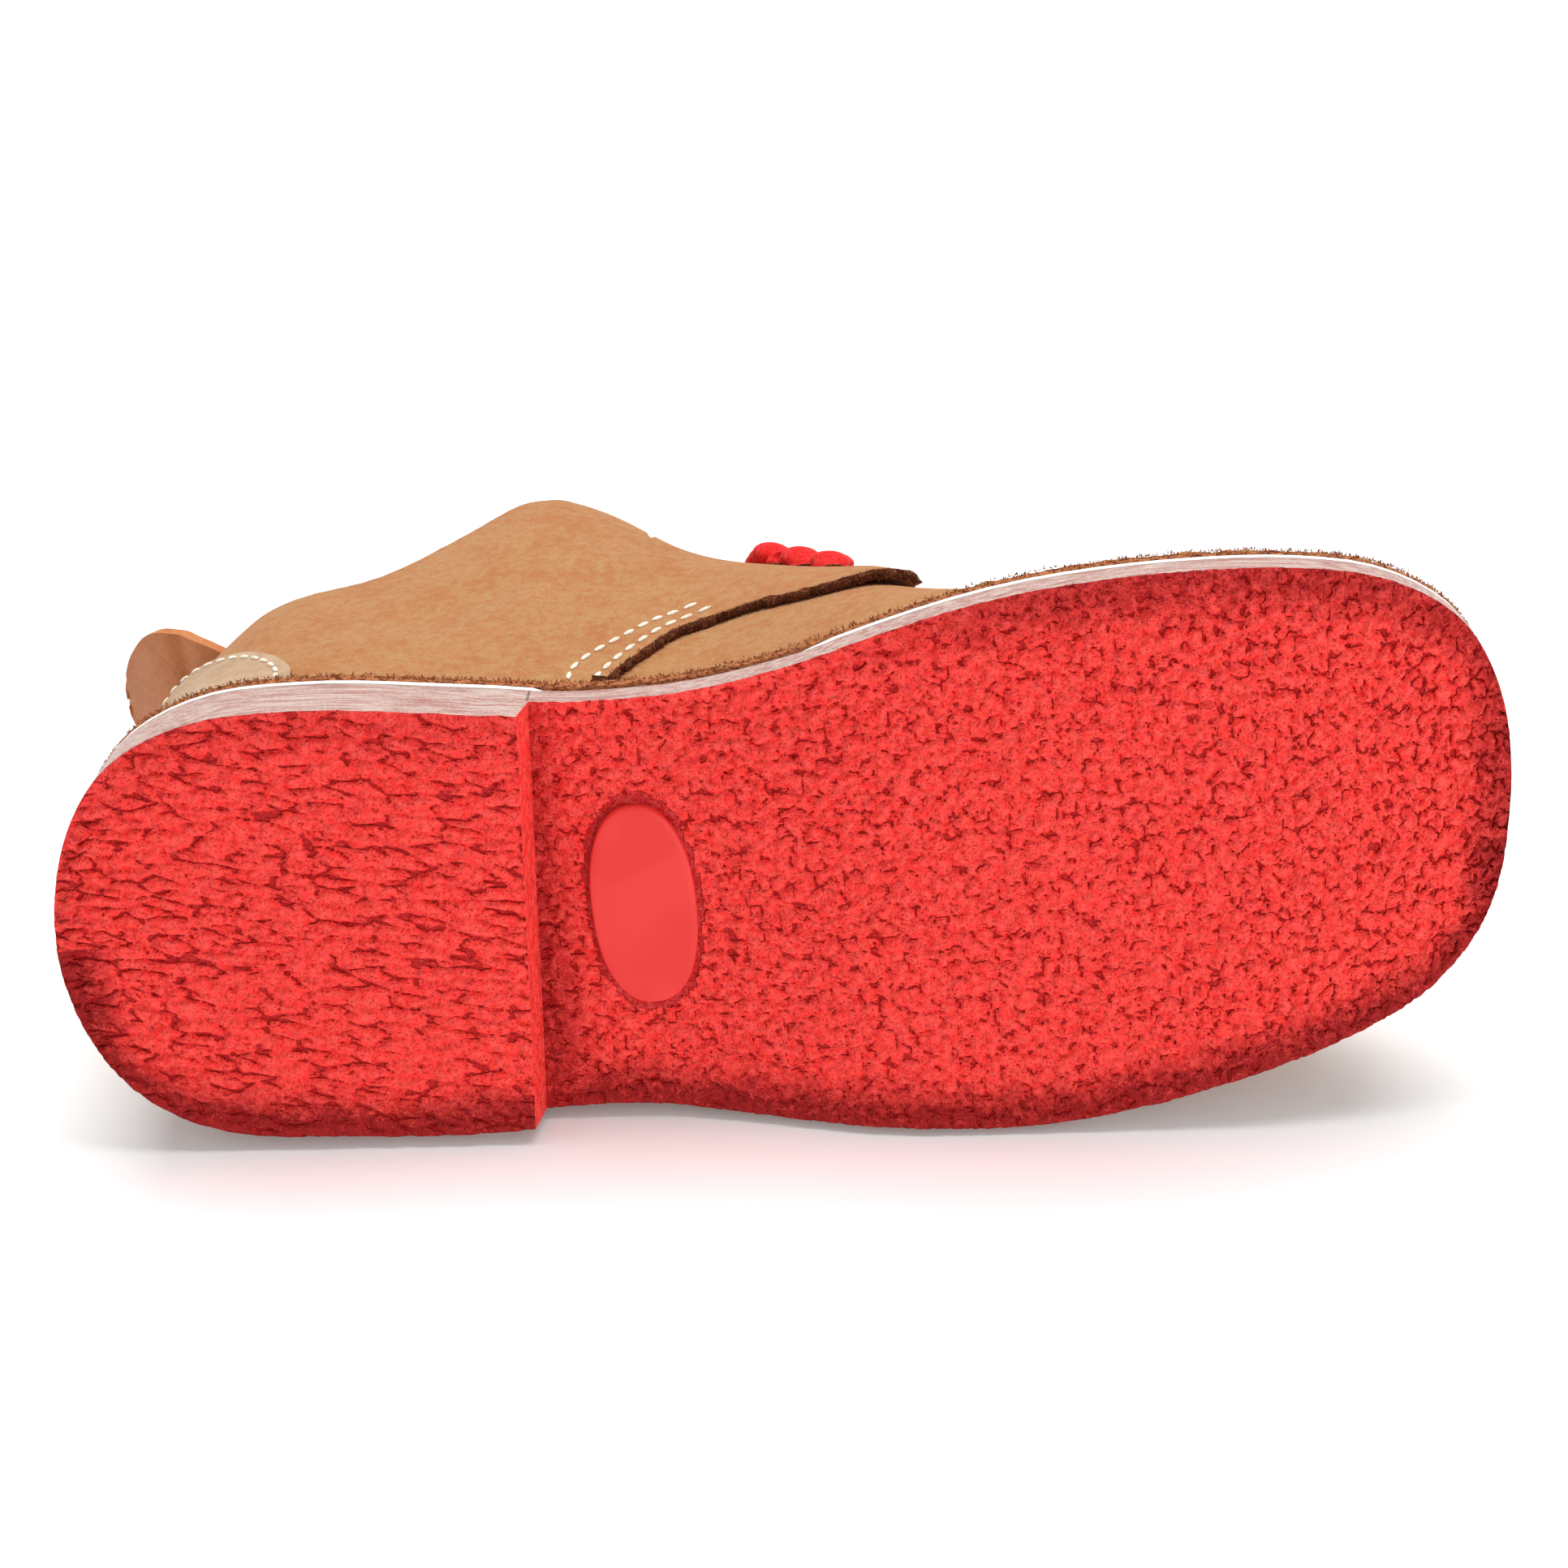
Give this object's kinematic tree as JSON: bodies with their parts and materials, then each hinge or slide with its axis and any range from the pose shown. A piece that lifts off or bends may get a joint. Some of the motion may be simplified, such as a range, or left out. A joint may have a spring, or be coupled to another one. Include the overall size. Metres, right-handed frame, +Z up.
{
  "type": "veldskoen",
  "caption": "Ankle-high suede lace-up shoe of stitchdown make, on a textured rubber sole, lying on its outer side.",
  "frame": {"origin": "centre of the underside of the bounding box, on the floor that the shoe lies on", "axes": "+X to the toe, -Y the way the sole's tread faces, +Z up, which is the inner side of the shoe"},
  "size_m": [0.219, 0.1094, 0.0893],
  "materials": {
    "crepe_rubber": "crepe-textured red, satin",
    "white_rubber": "matt white",
    "brown_suede": "raw cut edge, rough",
    "felt": "matt",
    "suede": "napped, matt",
    "pale_suede": "napped, matt",
    "smooth_leather": "smooth, satin",
    "lace": "woven cord, matt"
  },
  "bodies": {
    "root": {"outsole": "crepe_rubber", "midsole": "white_rubber", "runner": "brown_suede", "insole": "felt", "upper": "suede", "tongue": "suede", "heel_counter": "pale_suede", "pull_tab": "smooth_leather", "lace_bar_1": "lace", "lace_bar_2": "lace", "lace_bar_3": "lace"}
  },
  "joints": []
}
